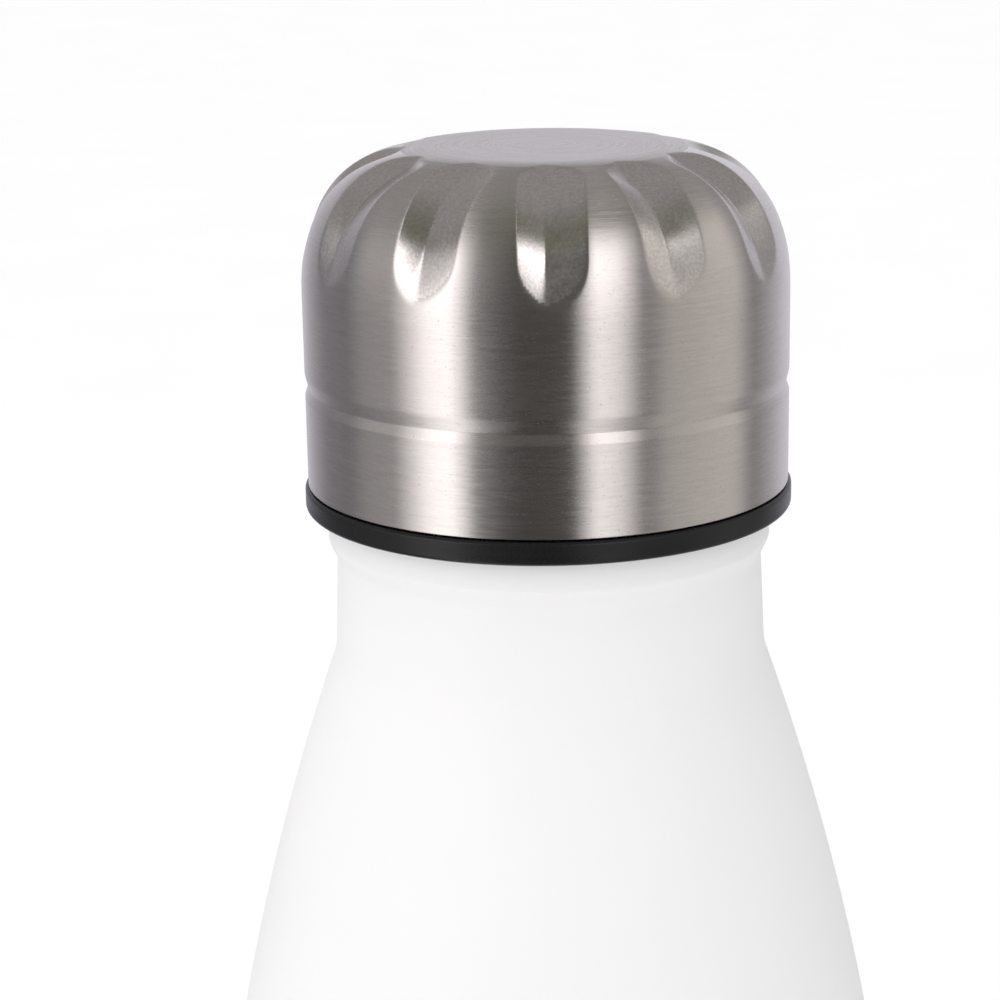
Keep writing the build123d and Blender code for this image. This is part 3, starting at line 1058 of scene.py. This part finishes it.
def studio_world():
    """Soft white surroundings: even light on what is matt, panels and a darker ceiling for what is glossy."""
    world = bpy.data.worlds.new("plain_studio")
    world.use_nodes = True
    world.node_tree.nodes.clear()
    world.cycles.sampling_method = "NONE"
    recipe = Recipe(world.node_tree)
    direction = recipe.put("TexCoord").outputs["Generated"]
    x, y, z = recipe.put("SeparateXYZ", direction).outputs
    # High up, the panels on the right lean away from the camera.
    shear = recipe.between(z, 0.40, 0.70, 0.0, 0.45)
    lean_away = recipe.math("MULTIPLY", recipe.math("MAXIMUM", x, 0.0), shear)
    azimuth = recipe.math("ARCTAN2", x, recipe.math("SUBTRACT", lean_away, y))
    place = recipe.between(azimuth, -math.pi, math.pi)
    near_floor = panel_ramp(recipe, place, False)
    higher = panel_ramp(recipe, place, True)
    walls = recipe.mixed(recipe.between(z, -0.22, 0.14), near_floor, higher)
    # All the panels are brighter still towards the ceiling.
    rise = recipe.between(z, 0.10, 0.55, 1.0, 1.5)
    walls = recipe.put("VectorMath", {"Vector": walls, "Scale": rise}, operation="SCALE").outputs[0]
    ceiling = recipe.mixed(recipe.between(y, -0.45, 0.2), CEILING_FRONT, CEILING_BACK)
    tilted = recipe.put("VectorMath", direction, CEILING_TILT, operation="DOT_PRODUCT").outputs["Value"]
    glossy = recipe.mixed(recipe.between(tilted, *CEILING_EDGE), walls, ceiling)
    lean = recipe.put("VectorMath", direction, LIGHT_LEAN, operation="DOT_PRODUCT").outputs["Value"]
    fill = recipe.math("ADD", lean, LIGHT_LEVEL)
    matt = recipe.put("CombineXYZ", fill, fill, fill).outputs[0]
    path = recipe.put("LightPath").outputs
    light = recipe.mixed(path["Is Glossy Ray"], matt, glossy)
    light = recipe.mixed(path["Is Camera Ray"], light, (1.0, 1.0, 1.0))
    background = recipe.put("Background", light, 1.0)
    recipe.put("OutputWorld", background.outputs[0])
    return world


class BOTTLE_OT_stage(bpy.types.Operator):
    """Sets up the pale floor, the soft studio light and the camera"""

    bl_idname = "bottle.stage"
    bl_label = "Stage"

    def execute(self, context):
        scene = context.scene
        mesh = bpy.data.meshes.new("floor")
        shape = bmesh.new()
        bmesh.ops.create_grid(shape, x_segments=8, y_segments=8, size=FLOOR_REACH)
        shape.to_mesh(mesh)
        shape.free()
        floor = bpy.data.objects.new("floor", mesh)
        floor.location = (0.0, 0.0, -FLOOR_GAP)
        floor.visible_glossy = False
        mesh.materials.append(finish("pale_floor"))
        scene.collection.objects.link(floor)

        scene.world = studio_world()
        scene.view_settings.view_transform = "Standard"
        scene.view_settings.look = "None"

        data = bpy.data.cameras.new("camera")
        data.lens = CAMERA_LENS
        data.sensor_width = 36.0
        data.shift_x = CAMERA_SHIFT
        data.clip_start = 0.01
        data.clip_end = 50.0
        camera = bpy.data.objects.new("camera", data)
        place = Matrix.Translation((0.0, -CAMERA_BACK, high("cap_shell").z + CAMERA_ABOVE))
        tilt = Matrix.Rotation(math.radians(CAMERA_TILT), 4, "X")
        lean = Matrix.Rotation(math.radians(CAMERA_LEAN), 4, "Z")
        camera.matrix_world = place @ tilt @ lean
        scene.collection.objects.link(camera)
        scene.camera = camera
        return {"FINISHED"}


class BOTTLE_PT_panel(bpy.types.Panel):
    """Lists the bottle's sizes, colours and pieces"""

    bl_idname = "BOTTLE_PT_panel"
    bl_label = "Insulated Bottle"
    bl_space_type = "VIEW_3D"
    bl_region_type = "UI"
    bl_category = "Bottle"

    def draw(self, context):
        layout = self.layout
        for group, names in (
            (context.scene.bottle_sizes, BottleSizes.__annotations__),
            (context.scene.bottle_finish, BottleFinish.__annotations__),
        ):
            column = layout.column(align=True)
            for name in names:
                column.prop(group, name)
        column = layout.column(align=True)
        for operator in OPERATORS:
            column.operator(operator.bl_idname)


OPERATORS = (
    BOTTLE_OT_outer_vessel,
    BOTTLE_OT_base_disc,
    BOTTLE_OT_liner,
    BOTTLE_OT_gasket,
    BOTTLE_OT_stopper,
    BOTTLE_OT_cap_sleeve,
    BOTTLE_OT_cap_dome,
    BOTTLE_OT_hidden_parts,
    BOTTLE_OT_stage,
)
CLASSES = (BottleSizes, BottleFinish, *OPERATORS, BOTTLE_PT_panel)


def register():
    for cls in CLASSES:
        bpy.utils.register_class(cls)
    bpy.types.Scene.bottle_sizes = PointerProperty(type=BottleSizes)
    bpy.types.Scene.bottle_finish = PointerProperty(type=BottleFinish)


def unregister():
    del bpy.types.Scene.bottle_finish
    del bpy.types.Scene.bottle_sizes
    for cls in reversed(CLASSES):
        bpy.utils.unregister_class(cls)


def main():
    """Builds the bottle and its stage."""
    register()
    bpy.ops.bottle.outer_vessel()
    bpy.ops.bottle.base_disc()
    bpy.ops.bottle.liner()
    bpy.ops.bottle.gasket()
    bpy.ops.bottle.stopper()
    bpy.ops.bottle.cap_sleeve()
    bpy.ops.bottle.cap_dome()
    bpy.ops.bottle.hidden_parts()
    bpy.ops.bottle.stage()


if __name__ == "__main__":
    main()
